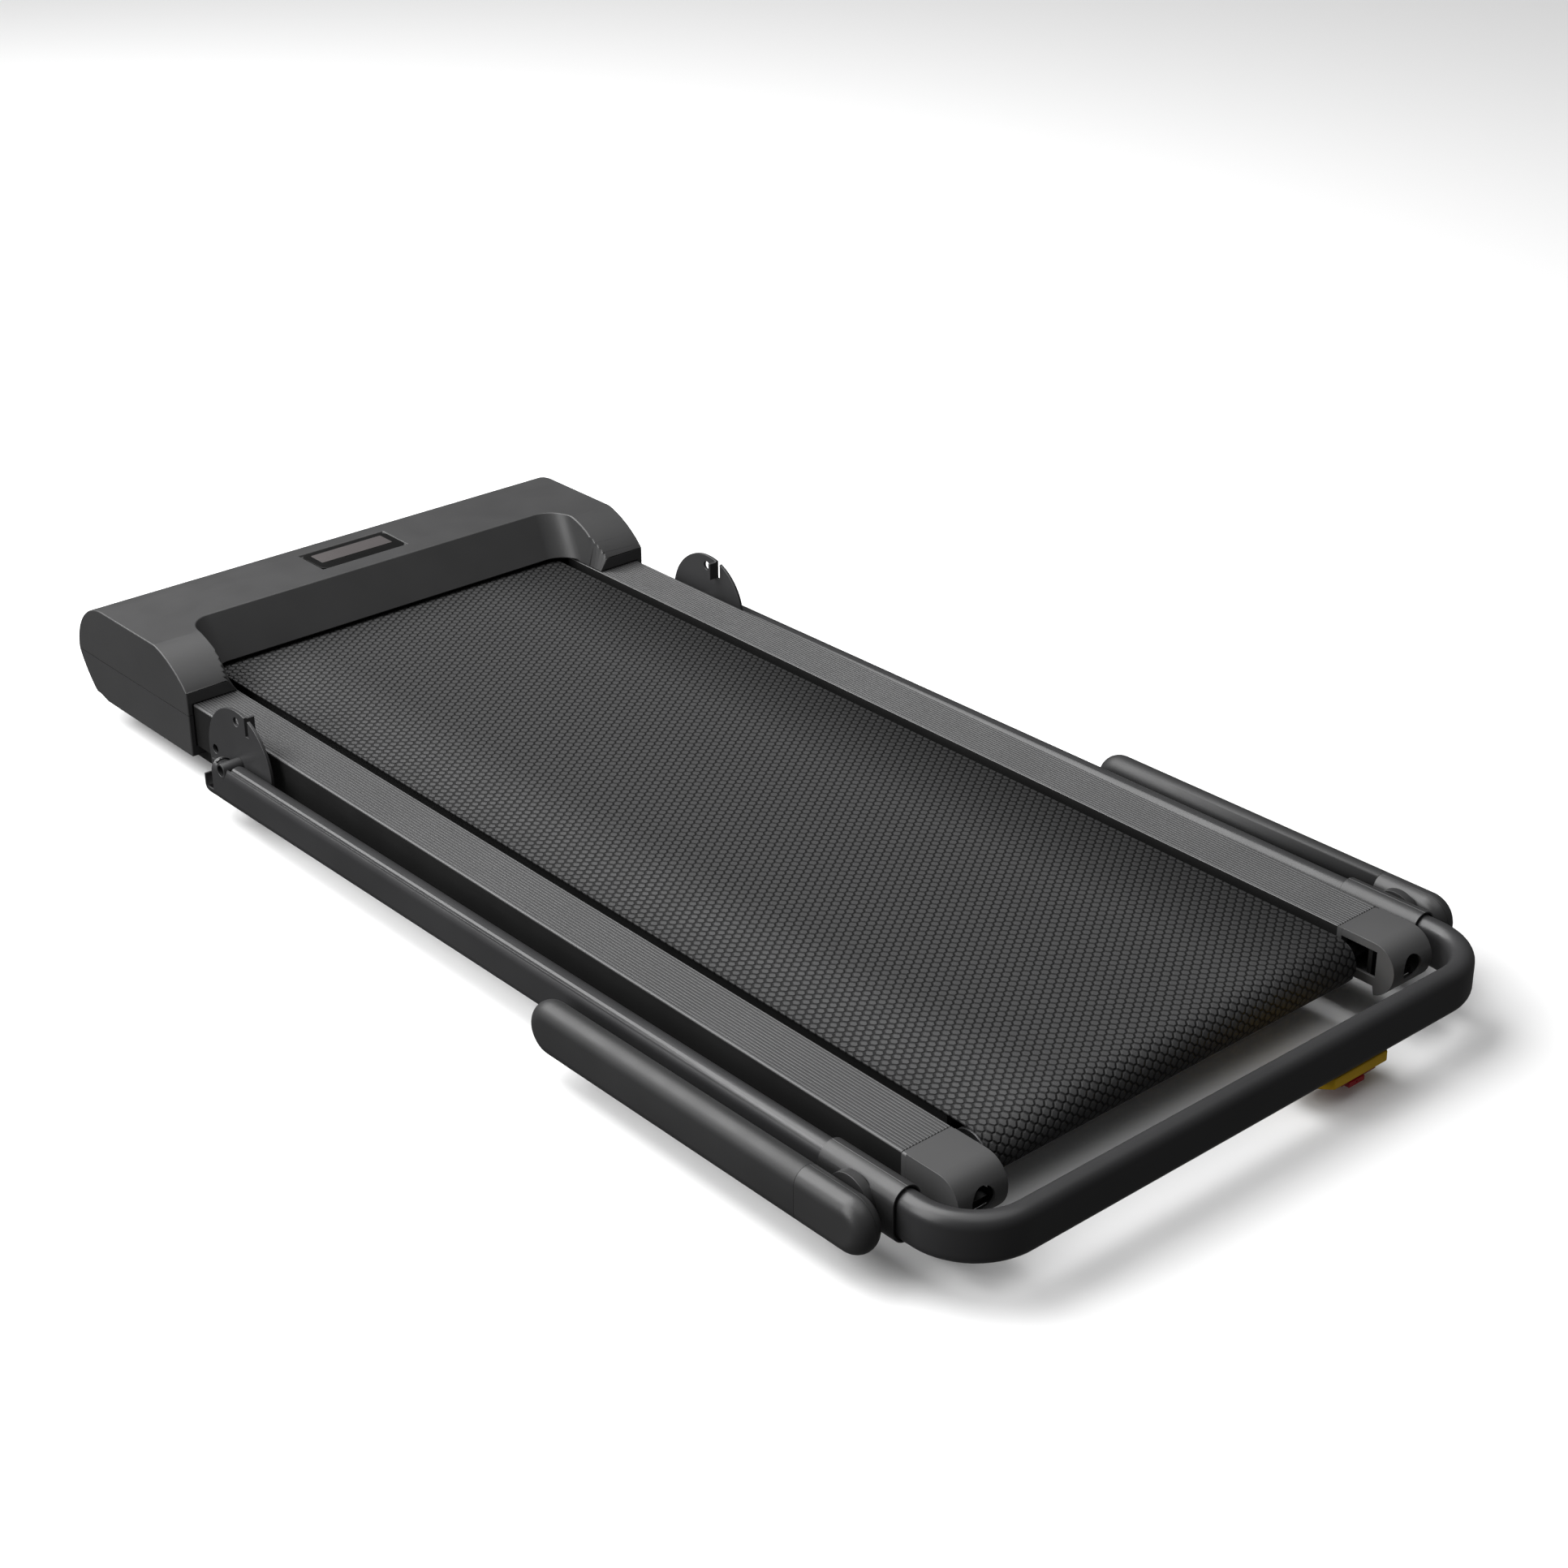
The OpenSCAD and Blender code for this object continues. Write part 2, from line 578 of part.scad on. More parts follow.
// Controller board with a finned heat sink
module motor_controller() color([0.10, 0.30, 0.15]) {
    x0 = motor_x0 + motor_l + 40;
    y0 = front_roller_y + belt_r + 4;
    y1 = y_nose - 50;
    block([x0, y0, pan_z + 4], [x0 + 120, y1, pan_z + 6]);
    for (x = [x0 + 3, x0 + 113], y = [y0 + 2, y1 - 8]) block([x, y, pan_z], [x + 5, y + 5, pan_z + 4]);
    color([0.6, 0.6, 0.62]) {
        block([x0 + 5, y0 + 3, pan_z + 6], [x0 + 65, y1 - 6, pan_z + 9]);
        for (i = [0 : 7]) block([x0 + 5 + i * 8, y0 + 3, pan_z + 9], [x0 + 8 + i * 8, y1 - 6, pan_z + 26]);
    }
}

// ---------- wheels under the hood ----------

module wheel_brackets() color([0.12, 0.12, 0.12]) for (s = sides) translate([s * wheel_x, wheel_y, 0]) {
    for (e = sides) difference() {
        block([e * (wheel_w / 2 + 3) - 1.2, -11, wheel_r - 8], [e * (wheel_w / 2 + 3) + 1.2, 11, rail_top - hood_drop]);
        translate([0, 0, wheel_r]) rod_x(-wheel_w, wheel_w, wheel_axle_r + fit);
    }
}
module wheel_axles() color([0.6, 0.6, 0.6]) for (s = sides) translate([s * wheel_x, wheel_y, wheel_r])
    rod_x(-wheel_w / 2 - 6, wheel_w / 2 + 6, wheel_axle_r);
module wheel(s) translate([s * wheel_x, wheel_y, wheel_r]) difference() {
    rod_x(-wheel_w / 2, wheel_w / 2, wheel_r);
    rod_x(-wheel_w / 2 - cut, wheel_w / 2 + cut, wheel_axle_r + fit);
    for (e = sides) translate([e * wheel_w / 2, 0, 0]) difference() {
        rod_x(-3, 3, wheel_r - 4);
        rod_x(-4, 4, wheel_axle_r + 3);
    }
}
module wheel_left() color([0.1, 0.1, 0.1]) wheel(-1);
module wheel_right() color([0.1, 0.1, 0.1]) wheel(1);

// ---------- handrail hinge ----------

module at_pivot() translate([0, pivot_y, pivot_z]) children();
// Places what is drawn about the pivot with the tube along -Y, in the folded position
module folded() at_pivot() rotate([-fold_slope, 0, 0]) children();

// Spacers on the rails that the hinge plates turn against
module pivot_bosses() color([0.1, 0.1, 0.1]) both_sides() at_pivot() difference() {
    rod_x(x_out, boss_end, 13);
    rod_x(x_out - cut, boss_end + cut, pivot_r + fit);
}
// Pivot bolts, sunk inside the sleeves
module pivot_bolts() color([0.35, 0.35, 0.36]) both_sides() at_pivot()
    rod_x(x_out + 0.5, tube_x + tube_w / 2 - 6, pivot_r);
// Threaded bosses for the hand knobs that lock the handrail
module lock_bosses() color([0.1, 0.1, 0.1]) both_sides() at_pivot() translate([0, lock_ring_r, 0]) difference() {
    rod_x(x_out, boss_end, lock_boss_r);
    rod_x(x_out + 1, boss_end + cut, lock_hole_r);
}

// Half round plate with two lock holes, a notch, and a tab bent towards the rail
module hinge_plate() folded() difference() {
    union() {
        intersection() {
            rod_x(plate_in, plate_in + plate_t, plate_r);
            block([plate_in - cut, -plate_r - cut, -tube_drop - tube_h / 2 + 4], [plate_in + plate_t + cut, plate_r + cut, plate_r + cut]);
        }
        block([plate_in - tab_in, -12 - plate_t, plate_r - 3 - tab_depth], [plate_in + plate_t, -12, plate_r - 3]);
    }
    for (a = [fold_slope, 90]) rotate([a, 0, 0]) translate([0, lock_ring_r, 0])
        rod_x(plate_in - cut, plate_in + plate_t + cut, lock_hole_r + 0.3);
    rod_x(plate_in - cut, plate_in + plate_t + cut, pivot_r + fit);
    block([plate_in - cut, -12 - tab_w, plate_r - 3 - tab_depth], [plate_in + plate_t + cut, -12 - plate_t, plate_r + cut]);
}
module hinge_plate_left() color([0.22, 0.22, 0.23]) on_side(-1) hinge_plate();
module hinge_plate_right() color([0.22, 0.22, 0.23]) on_side(1) hinge_plate();

module pivot_sleeves() color([0.24, 0.24, 0.25]) both_sides() folded() difference() {
    rod_x(plate_in + plate_t, tube_x + tube_w / 2, sleeve_r);
    rod_x(plate_in, tube_x + tube_w / 2 + cut, pivot_r + fit);
}

// ---------- handrail tube ----------

module oval_ring() difference() {
    polygon(oval(tube_w, tube_h));
    polygon(oval(tube_w - 2 * tube_wall, tube_h - 2 * tube_wall));
}

// Takes off the lower front corner between x0 and x1, where a side ends at y
module round_nose(y, x0, x1) translate([0, y - tube_nose_r, -tube_drop - tube_h / 2 + tube_nose_r]) difference() {
    block([x0, 0, -tube_nose_r - cut], [x1, tube_nose_r + cut, 0]);
    rod_x(x0 - cut, x1 + cut, tube_nose_r);
}

// Straight side tube with its cut front end and the ear beside the hinge plate
module handrail_side() folded() difference() {
    ear_x = tube_x - tube_w / 2 + 3;
    union() {
        translate([tube_x, 0, -tube_drop]) along(-bar_back + bend_r, tube_nose) oval_ring();
        translate([tube_x, 0, -tube_drop]) along(tube_end - tube_nose_r, tube_end)
            polygon(oval(tube_w - tube_wall, tube_h - tube_wall));
    }
    // hollow the closed front corner
    translate([0, tube_end - tube_nose_r, -tube_drop - tube_h / 2 + tube_nose_r])
        rod_x(tube_x - tube_w / 2 + tube_wall, tube_x + tube_w / 2 - tube_wall, tube_nose_r - tube_wall);
    round_nose(tube_nose, tube_x - tube_w, ear_x);
    round_nose(tube_end, ear_x, tube_x + tube_w);
    // end the tube before its ear, and clear the outer wall and the top ahead of the sleeve
    block([ear_x, tube_end, -2 * tube_h], [tube_x + tube_w, tube_nose + cut, tube_h]);
    block([ear_x, ear_r, -tube_drop - 10], [tube_x + tube_w, tube_end - tube_wall, tube_h]);
    block([ear_x, ear_r, -tube_drop + 2], [tube_x + tube_w, tube_nose + cut, tube_h]);
    // leave the lock knob its way
    block([tube_x - tube_w, ear_r, -lock_hole_r - 6], [ear_x + cut, tube_nose + cut, tube_h]);
    // open the top round the sleeve, and give the sleeve its hole
    rod_x(tube_x - tube_w / 2 - cut, tube_x + tube_w / 2 - tube_wall - 1.5, sleeve_r + 6);
    rod_x(tube_x - tube_w, tube_x + tube_w, sleeve_r + seat / 2);
}
module handrail_tube_left() color([0.24, 0.24, 0.25]) on_side(-1) handrail_side();
module handrail_tube_right() color([0.24, 0.24, 0.25]) on_side(1) handrail_side();
// Bar across the back, with the bend at each end
module handrail_crossbar() color([0.24, 0.24, 0.25]) folded() {
    translate([-tube_x + bend_r, -bar_back, -tube_drop]) rotate([90, 0, 90])
        linear_extrude(height = 2 * (tube_x - bend_r)) oval_ring();
    both_sides() translate([tube_x - bend_r, -bar_back + bend_r, -tube_drop]) rotate([0, 0, -90])
        rotate_extrude(angle = 90) translate([bend_r, 0]) oval_ring();
}

// ---------- arm clamps and arm rests ----------

// Moves a shape drawn about the arm's pivot to its place on the right tube
module at_arm() folded() translate([tube_x, -arm_pivot, -tube_drop]) children();

module clamp_shell() difference() {
    along(-clamp_l / 2, clamp_l / 2) polygon(oval(clamp_w, clamp_h));
    along(-clamp_l / 2 - cut, clamp_l / 2 + cut) polygon(oval(tube_w + 2 * seat, tube_h + 2 * seat));
    for (e = sides) translate([0, e * clamp_l / 2, 0])
        along(-2.5, 2.5) polygon(oval(tube_w + 3.2, tube_h + 3.2));
}
module arm_clamps_inner() color([0.25, 0.25, 0.26]) both_sides() at_arm() intersection() {
    clamp_shell();
    block([-clamp_w, -clamp_l, -clamp_h], [-seat / 2, clamp_l, clamp_h]);
}
module arm_clamps_outer() color([0.25, 0.25, 0.26]) both_sides() at_arm() difference() {
    union() {
        intersection() {
            clamp_shell();
            block([seat / 2, -clamp_l, -clamp_h], [clamp_w, clamp_l, clamp_h]);
        }
        rod_x(clamp_w / 2 - 1.2, clamp_w / 2 + arm_gap - slack, boss_r);
    }
    rod_x(tube_w / 2, clamp_w + arm_gap, pin_r + fit);
}

// Pivot pins from the clamps into the arm hubs
module arm_pins() color([0.55, 0.55, 0.57]) both_sides() at_arm()
    rod_x(tube_w / 2 + 1, clamp_w / 2 + arm_gap + arm_w - 4, pin_r);

arm_mid = clamp_w / 2 + arm_gap + arm_w / 2;

// Flat oval bar with fully rounded ends, from a to b along Y
module pill(w, h, a, b) {
    along(a + h / 2, b - h / 2) polygon(oval(w, h));
    translate([0, a + h / 2, 0]) rotate([0, 90, 0]) rotate([0, 0, 180])
        rotate_extrude(angle = 180) polygon(half_oval(w, h));
    translate([0, b - h / 2, 0]) rotate([0, 90, 0])
        rotate_extrude(angle = 180) polygon(half_oval(w, h));
}
// An arm spans from arm_back behind its pivot to arm_front ahead of it
module arm_bar() translate([arm_mid, 0, tube_drop - arm_drop])
    pill(arm_w, arm_h, arm_pivot - arm_back, arm_pivot - arm_front);
hub_back = arm_pivot - arm_back;
// Flat core of the grip that reaches through the hub, grown by g
module arm_core(g) translate([arm_mid, 0, tube_drop - arm_drop])
    along(hub_back + 20 - g, hub_back + hub_l + 1) polygon(oval(arm_w - 9 + 2 * g, arm_h - 12 + 2 * g));
module arm_grip() at_arm() difference() {
    union() {
        intersection() {
            arm_bar();
            block([-arm_w, hub_back + hub_l, -arm_h], [3 * arm_w, arm_l, arm_h]);
        }
        arm_core(0);
    }
    rod_x(0, arm_mid + arm_w, pin_r + fit);
}
// Two hub shells that meet a little inside the middle of the arm
module arm_hub() at_arm() difference() {
    intersection() {
        arm_bar();
        block([-arm_w, hub_back - cut, -arm_h], [3 * arm_w, hub_back + hub_l - seat, arm_h]);
    }
    arm_core(seat);
    rod_x(0, arm_mid + arm_w / 2 - 3, pin_r + fit);
    block([arm_mid - 2 - seat / 2, -arm_l, -arm_h], [arm_mid - 2 + seat / 2, arm_l, arm_h]);
}
module arm_grip_left() color([0.23, 0.23, 0.24]) on_side(-1) arm_grip();
module arm_grip_right() color([0.23, 0.23, 0.24]) on_side(1) arm_grip();
module arm_hub_left() color([0.25, 0.25, 0.26]) on_side(-1) arm_hub();
module arm_hub_right() color([0.25, 0.25, 0.26]) on_side(1) arm_hub();

// ---------- safety key ----------

module at_key() folded() translate([key_x, -bar_back, -tube_drop - tube_h / 2]) children();

// Wedge edged holder on the side of the bar that faces the user when it is raised
module key_holder() color([0.80, 0.66, 0.20]) at_key() difference() {
    translate([0, 0, -key_t]) linear_extrude(height = key_t) polygon([
        [-key_w / 2 + 14, -tube_w / 2 + 4], [key_w / 2 - 14, -tube_w / 2 + 4], [key_w / 2, 10],
        [key_w / 2, key_d - 16], [key_w / 2 - 8, key_d - 6], [-key_w / 2 + 8, key_d - 6],
        [-key_w / 2, key_d - 16], [-key_w / 2, 10]]);
    translate([0, 14, -key_t - cut]) cylinder(r = 14, h = 3.5);
}
module safety_key() color([0.72, 0.10, 0.13]) at_key() difference() {
    union() {
        translate([0, 14, -key_t - 1.5]) cylinder(r = 13.6, h = 3.5);
        block([-20, -tube_w / 2 + 6, -key_t - 2.5], [20, 26, -key_t - slack]);
        block([-12, -tube_w / 2 + 5, -key_t - 6.5], [6, 24, -key_t - 2.5]);
    }
    translate([-3, 0, -key_t - 4.5]) rod_y(-tube_w, 40, 1);
}

side_rail_left();
side_rail_right();
frame_tube_left();
frame_tube_right();
frame_cross_bars();
chassis_plates();
deck_beams();
deck_cushions();
running_deck();
running_belt();
front_axle();
rear_axle();
rail_end_plates();
rear_cap_left();
rear_cap_right();
tension_brackets();
rubber_feet();
hood_upper();
hood_lower();
display_lens();
display_board();
motor_case();
motor_bracket();
drive_belt();
motor_controller();
power_inlet();
switch_frame();
pivot_bosses();
pivot_bolts();
lock_bosses();
wheel_brackets();
wheel_axles();
front_roller();
roller_bearings();
roller_pulley();
rear_roller();
motor_shaft();
motor_pulley();
wheel_left();
wheel_right();
tension_bolt_left();
tension_bolt_right();
power_rocker();
handrail_tube_left();
handrail_tube_right();
handrail_crossbar();
hinge_plate_left();
hinge_plate_right();
pivot_sleeves();
arm_clamps_inner();
arm_clamps_outer();
arm_pins();
key_holder();
safety_key();
arm_grip_left();
arm_grip_right();
arm_hub_left();
arm_hub_right();
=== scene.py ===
import bpy, bmesh
from math import radians, pi, sin, cos, exp
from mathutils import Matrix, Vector


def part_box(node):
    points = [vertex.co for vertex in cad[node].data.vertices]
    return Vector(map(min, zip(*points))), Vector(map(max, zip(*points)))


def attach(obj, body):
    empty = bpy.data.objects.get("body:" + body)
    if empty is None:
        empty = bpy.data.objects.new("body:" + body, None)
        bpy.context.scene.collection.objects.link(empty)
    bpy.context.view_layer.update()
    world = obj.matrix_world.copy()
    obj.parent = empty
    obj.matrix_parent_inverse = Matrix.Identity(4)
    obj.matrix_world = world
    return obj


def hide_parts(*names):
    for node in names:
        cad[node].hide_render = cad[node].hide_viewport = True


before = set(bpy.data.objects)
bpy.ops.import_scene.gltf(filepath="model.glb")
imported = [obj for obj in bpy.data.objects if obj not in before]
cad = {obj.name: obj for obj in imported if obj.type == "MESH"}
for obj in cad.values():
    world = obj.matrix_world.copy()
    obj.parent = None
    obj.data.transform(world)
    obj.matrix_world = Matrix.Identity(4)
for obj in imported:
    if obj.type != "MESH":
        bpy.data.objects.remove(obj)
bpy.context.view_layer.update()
print("frame loaded:", len(cad), "nodes")


# ---- camera, floor and lights ----

cameraLook = {"place": (-1.37848, -1.69011, 1.19035), "turn": (62.783, 0.104, -41.037),
              "lens": 64.6, "sensor": 36, "seesTo": 30}
studioLook = {
    "floor": (0.90, 0.90, 0.90),
    "floorReach": 12,
    "backdrop": 0.95,
    # brightness of the sky, from straight down at 0 to straight up at 1
    "sky": ((0.46, 0.07), (0.56, 0.09), (0.89, 0.144), (0.96, 1.5)),
    "lights": {
        "keyLight": {"place": (-0.7, 1.55, 2.5), "size": (2.8, 2.8), "power": 128},
        "sideLight": {"place": (-2.6, 0.4, 1.4), "size": (1.6, 2.8), "power": 66},
        "backLight": {"place": (-1.6, 2.5, 1.9), "size": (1.4, 0.9), "power": 26},
    },
}


def show(name, data):
    thing = bpy.data.objects.new(name, data)
    bpy.context.scene.collection.objects.link(thing)
    return thing


def placeCamera(look):
    data = bpy.data.cameras.new("camera")
    data.lens = look["lens"]
    data.sensor_width = look["sensor"]
    data.clip_end = look["seesTo"]
    camera = show("camera", data)
    camera.location = look["place"]
    camera.rotation_euler = [radians(a) for a in look["turn"]]
    bpy.context.scene.camera = camera


def softBox(name, look):
    data = bpy.data.lights.new(name, "AREA")
    data.shape = "RECTANGLE"
    data.size, data.size_y = look["size"]
    data.energy = look["power"]
    light = show(name, data)
    light.location = look["place"]
    # every light looks at the origin
    light.rotation_euler = (-Vector(look["place"])).to_track_quat("-Z", "Y").to_euler()


def setSky(look):
    world = bpy.data.worlds.new("studio")
    bpy.context.scene.world = world
    world.use_nodes = True
    nodes, links = world.node_tree.nodes, world.node_tree.links
    direction = nodes.new("ShaderNodeTexCoord")
    parts = nodes.new("ShaderNodeSeparateXYZ")
    links.new(direction.outputs["Generated"], parts.inputs[0])
    height = nodes.new("ShaderNodeMapRange")
    height.inputs["From Min"].default_value = -1
    links.new(parts.outputs["Z"], height.inputs["Value"])
    ramp = nodes.new("ShaderNodeValToRGB")
    links.new(height.outputs["Result"], ramp.inputs["Fac"])
    stops = ramp.color_ramp.elements
    ready = len(stops)
    for index, (place, level) in enumerate(look["sky"]):
        stop = stops[index] if index < ready else stops.new(place)
        stop.position = place
        stop.color = (level, level, level, 1)
    # the backdrop itself is seen pale, while the object is lit by the ramp
    ray = nodes.new("ShaderNodeLightPath")
    seen = nodes.new("ShaderNodeMix")
    seen.data_type = "RGBA"
    links.new(ray.outputs["Is Camera Ray"], seen.inputs["Factor"])
    links.new(ramp.outputs["Color"], seen.inputs["A"])
    seen.inputs["B"].default_value = (*[look["backdrop"]] * 3, 1)
    links.new(seen.outputs["Result"], nodes["Background"].inputs["Color"])


def newFinish(name):
    material = bpy.data.materials.new(name)
    material.use_nodes = True
    return material, material.node_tree.nodes["Principled BSDF"]


def setStudio(look):
    setSky(look)
    for name, lightLook in look["lights"].items():
        softBox(name, lightLook)
    bm = bmesh.new()
    bmesh.ops.create_grid(bm, x_segments=1, y_segments=1, size=look["floorReach"])
    mesh = bpy.data.meshes.new("studioFloor")
    bm.to_mesh(mesh)
    bm.free()
    floor = show("studioFloor", mesh)
    material, shader = newFinish("studioFloor")
    shader.inputs["Base Color"].default_value = (*look["floor"], 1)
    shader.inputs["Roughness"].default_value = 1
    shader.inputs["Specular IOR Level"].default_value = 0
    floor.data.materials.append(material)
    floor.visible_glossy = False
    floor.visible_diffuse = False
    bpy.context.scene.view_settings.view_transform = "Standard"


placeCamera(cameraLook)
setStudio(studioLook)
print("camera and studio set")


# ---- finishes ----

def addNode(material, kind, values=None, **settings):
    # a value that is another node's output gets linked, and any other is set
    node = material.node_tree.nodes.new(kind)
    for key, value in settings.items():
        setattr(node, key, value)
    for key, value in (values or {}).items():
        if hasattr(value, "is_linked"):
            link(material, value, node.inputs[key])
        else:
            node.inputs[key].default_value = value
    return node


def link(material, source, target):
    material.node_tree.links.new(source, target)


def calc(material, operation, a, b=0.0, c=0.0):
    return addNode(material, "ShaderNodeMath", {0: a, 1: b, 2: c}, operation=operation).outputs[0]


def objectSpace(material, stretch=(1, 1, 1)):
    here = addNode(material, "ShaderNodeTexCoord").outputs["Object"]
    return addNode(material, "ShaderNodeMapping", {"Vector": here, "Scale": stretch}).outputs["Vector"]


def noiseOn(material, vector, scale, detail=3.0):
    values = {"Vector": vector, "Scale": scale, "Detail": detail}
    return addNode(material, "ShaderNodeTexNoise", values).outputs["Fac"]


def mapRange(material, value, fromLow, fromHigh, low=0, high=1, interpolation="LINEAR"):
    values = {"Value": value, "From Min": fromLow, "From Max": fromHigh, "To Min": low, "To Max": high}
    return addNode(material, "ShaderNodeMapRange", values, interpolation_type=interpolation).outputs["Result"]


def spread(material, noise, low, high):
    # noise mostly lies between 0.3 and 0.7
    return mapRange(material, noise, 0.3, 0.7, low, high)


def mixOf(material, factor, first, second):
    mix = addNode(material, "ShaderNodeMix", {"Factor": factor}, data_type="RGBA")
    for source, socket in ((first, "A"), (second, "B")):
        if hasattr(source, "is_linked"):
            link(material, source, mix.inputs[socket])
        else:
            mix.inputs[socket].default_value = (*source, 1)
    return mix.outputs["Result"]


def times(colour, share):
    return [min(1, c * share) for c in colour]


# what a finish has where it says nothing else; scales are per metre, grain and depth in metres
plainLook = {"shift": 0.10, "roughShift": 0.05, "bump": 0.4, "metal": 0, "gloss": 0.5, "coat": 0,
             "coatRough": 0.2, "stretch": (1, 1, 1), "toneScale": 9, "smudgeScale": 35, "smudgeShare": 0.6,
             "topFrom": 0.25, "topTo": 0.5}


def surfaceFinish(name, ownLook):
    look = {**plainLook, **ownLook}
    material, shader = newFinish(name)
    plain = objectSpace(material)
    broad = spread(material, noiseOn(material, plain, look["toneScale"]), 0, 1)
    fine = noiseOn(material, objectSpace(material, look["stretch"]), 1 / look["grain"], 2)

    def tones(colour):
        return mixOf(material, broad, times(colour, 1 - look["shift"]), times(colour, 1 + look["shift"]))

    tone = tones(look["colour"])
    if "ribs" in look:
        # painted shade in the grooves and painted light on the crests, where the extrusion is ribbed
        ribs = look["ribs"]
        side = addNode(material, "ShaderNodeSeparateXYZ", {0: plain}).outputs["X"]
        inside = calc(material, "MINIMUM", calc(material, "ABSOLUTE", side), ribs["end"])
        fromFirst = calc(material, "SUBTRACT", inside, ribs["start"])
        half = ribs["pitch"] / 2
        crest = mapRange(material, calc(material, "PINGPONG", fromFirst, half), 0, half, 0, 1, "SMOOTHSTEP")
        tone = mixOf(material, crest, tones(times(look["colour"], ribs["grooveShade"])),
                     tones(times(look["colour"], ribs["light"])))
    if "sides" in look:
        # painted shade: a darker colour on the faces that don't point up, standing in for the shade along the
        # sides
        normal = addNode(material, "ShaderNodeTexCoord").outputs["Normal"]
        upward = addNode(material, "ShaderNodeSeparateXYZ", {0: normal}).outputs["Z"]
        top = mapRange(material, upward, look["topFrom"], look["topTo"])
        tone = mixOf(material, top, tones(look["sides"]), tone)
    link(material, tone, shader.inputs["Base Color"])

    smudge = noiseOn(material, plain, look["smudgeScale"])
    wear = calc(material, "ADD", calc(material, "MULTIPLY", fine, 1 - look["smudgeShare"]),
                calc(material, "MULTIPLY", smudge, look["smudgeShare"]))
    rough, roughShift = look["rough"], look["roughShift"]
    link(material, spread(material, wear, rough - roughShift, rough + roughShift), shader.inputs["Roughness"])
    bump = addNode(material, "ShaderNodeBump",
                   {"Height": fine, "Strength": look["bump"], "Distance": look["depth"]})
    link(material, bump.outputs["Normal"], shader.inputs["Normal"])
    shader.inputs["Metallic"].default_value = look["metal"]
    shader.inputs["Specular IOR Level"].default_value = look["gloss"]
    shader.inputs["Coat Weight"].default_value = look["coat"]
    shader.inputs["Coat Roughness"].default_value = look["coatRough"]
    return material


finishLooks = {
    "hoodPlastic": {"colour": (0.038, 0.038, 0.0385), "rough": 0.42, "grain": 0.0011, "depth": 0.00010},
    "capPlastic": {"colour": (0.066, 0.066, 0.0665), "rough": 0.38, "grain": 0.0009, "depth": 0.00008},
    "hubPlastic": {"colour": (0.030, 0.030, 0.0305), "rough": 0.38, "grain": 0.0009, "depth": 0.00008},
    "tubePaint": {"colour": (0.027, 0.027, 0.028), "rough": 0.38, "grain": 0.0012, "depth": 0.00005,
                  "coat": 0.06},
    "platePaint": {"colour": (0.030, 0.030, 0.031), "rough": 0.40, "grain": 0.0010, "depth": 0.00006},
    "blackSteel": {"colour": (0.006, 0.006, 0.006), "rough": 0.5, "grain": 0.0012, "depth": 0.00008,
                   "gloss": 0.3},
    # painted shade: the rails' faces that don't point up are made darker than their tops
    "railAluminium": {"colour": (0.058, 0.058, 0.059), "sides": (0.010, 0.010, 0.010), "rough": 0.42,
                      "gloss": 0.4, "grain": 0.0009, "depth": 0.000012, "stretch": (1, 0.02, 1),
                      # the ribs' dark and light shares paint shade into the grooves and light onto the crests
                      "ribs": {"start": 0.2138, "end": 0.2573, "pitch": 0.003, "grooveShade": 0.35, "light": 1.15}},
    "bareSteel": {"colour": (0.45, 0.45, 0.46), "rough": 0.30, "metal": 1.0, "grain": 0.0008,
                  "depth": 0.00003, "stretch": (0.05, 1, 1)},
    "softRubber": {"colour": (0.012, 0.012, 0.012), "rough": 0.75, "grain": 0.0013, "depth": 0.0002,
                   "gloss": 0.3},
    "gripFoam": {"colour": (0.022, 0.022, 0.0225), "rough": 0.50, "grain": 0.0012, "depth": 0.00012},
    "displayGloss": {"colour": (0.005, 0.005, 0.005), "rough": 0.30, "gloss": 0.12, "grain": 0.003,
                     "depth": 0.00001},
    "displayWindow": {"colour": (0.066, 0.060, 0.060), "rough": 0.35, "gloss": 0.3, "grain": 0.002,
                      "depth": 0.00001},
    "circuitGreen": {"colour": (0.012, 0.07, 0.03), "rough": 0.4, "grain": 0.002, "depth": 0.00005},
    "castAluminium": {"colour": (0.20, 0.20, 0.21), "rough": 0.45, "metal": 0.8, "grain": 0.0014,
                      "depth": 0.0002},
    "blackPlastic": {"colour": (0.010, 0.010, 0.010), "rough": 0.45, "grain": 0.001, "depth": 0.0001},
    "deckBoard": {"colour": (0.008, 0.008, 0.008), "rough": 0.6, "grain": 0.002, "depth": 0.0001,
                  "stretch": (1, 0.1, 1)},
    "keyYellow": {"colour": (0.86, 0.52, 0.008), "rough": 0.42, "grain": 0.001, "depth": 0.0001},
    "keyRed": {"colour": (0.42, 0.012, 0.018), "rough": 0.36, "grain": 0.001, "depth": 0.0001},
}
finish = {name: surfaceFinish(name, look) for name, look in finishLooks.items()}


# lengths in metres; slant is how fast a cell's four slanting sides close in, across and along
# the belt's dark and light shares paint shade into its grooves and light onto its plateaus
beltLook = {"colour": (0.034, 0.034, 0.0345), "grooveShade": 0.28, "light": 1.3, "rough": 0.58, "roughLess": 0.05,
            "roughMore": 0.06, "gloss": 0.16, "across": 0.0124, "along": 0.0084, "height": 0.0013,
            "reach": 0.00374, "slant": (0.828, 0.561), "groove": 0.0016, "bump": 0.9, "grainScale": 900,
            "grainShare": 0.12, "smudgeScale": 30}


